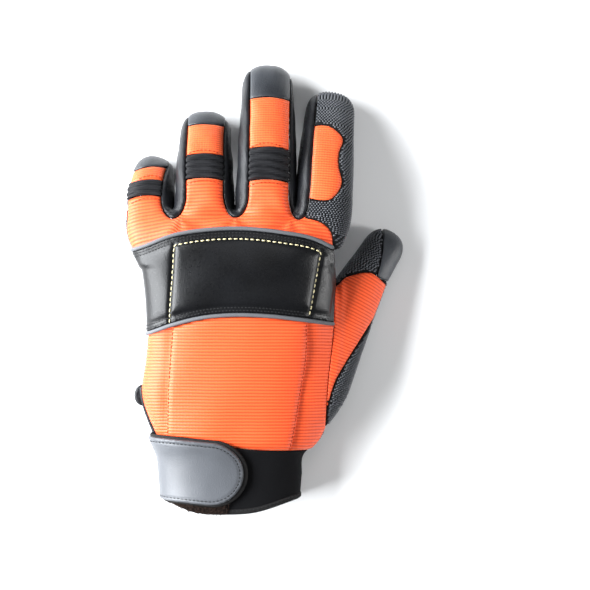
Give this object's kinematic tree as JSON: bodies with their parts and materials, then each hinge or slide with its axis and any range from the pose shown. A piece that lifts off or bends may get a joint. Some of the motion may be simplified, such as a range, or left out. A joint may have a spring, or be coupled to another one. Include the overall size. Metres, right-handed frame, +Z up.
{
  "type": "chainsaw glove",
  "caption": "Left-hand chainsaw work glove with ribbed orange back, black knuckle panel, leather fingertips, beaded grip palm and a hook-and-loop wrist strap, lying palm down",
  "frame": {"origin": "on the surface that the glove lies on, under the middle of its bounding box", "axes": "+Z up from the surface through the back of the hand, +Y towards the fingertips, +X towards the thumb"},
  "size_m": [0.1534, 0.2504, 0.0532],
  "materials": {
    "ribbed_fabric": "ribbed stretch fabric, high-visibility orange",
    "elastic_band": "matte black ribbed elastic",
    "leather": "dark slate goat leather, soft sheen",
    "grip_fabric": "black knit with raised glossy beads",
    "coated_leather": "smooth black coated leather, satin",
    "piping": "grey reflective piping, satin",
    "neoprene": "smooth black neoprene",
    "binding": "black woven binding",
    "loop_pile": "brown-black loop pile",
    "rubber_strap": "matte grey moulded rubber"
  },
  "bodies": {
    "root": {"back_panel": "ribbed_fabric", "little_patch": "ribbed_fabric", "little_band": "elastic_band", "little_cap": "leather", "ring_patch": "ribbed_fabric", "ring_band": "elastic_band", "ring_cap": "leather", "middle_patch": "ribbed_fabric", "middle_band": "elastic_band", "middle_cap": "leather", "index_patch": "ribbed_fabric", "palm_panel": "grip_fabric", "little_palm": "leather", "little_grip_pad": "grip_fabric", "ring_palm": "leather", "ring_grip_pad": "grip_fabric", "middle_palm": "leather", "middle_grip_pad": "grip_fabric", "little_ring_side": "leather", "ring_middle_side": "leather", "middle_index_side": "leather", "thumb_panel": "ribbed_fabric", "thumb_cap": "leather", "thumb_grip": "grip_fabric", "cuff": "neoprene", "cuff_hem": "binding", "knuckle_panel": "coated_leather", "upper_piping": "piping", "lower_piping": "piping", "back_pad": "ribbed_fabric", "side_tab": "leather", "loop_pile": "loop_pile", "strap_backing": "binding", "wrist_strap": "rubber_strap"}
  },
  "joints": []
}
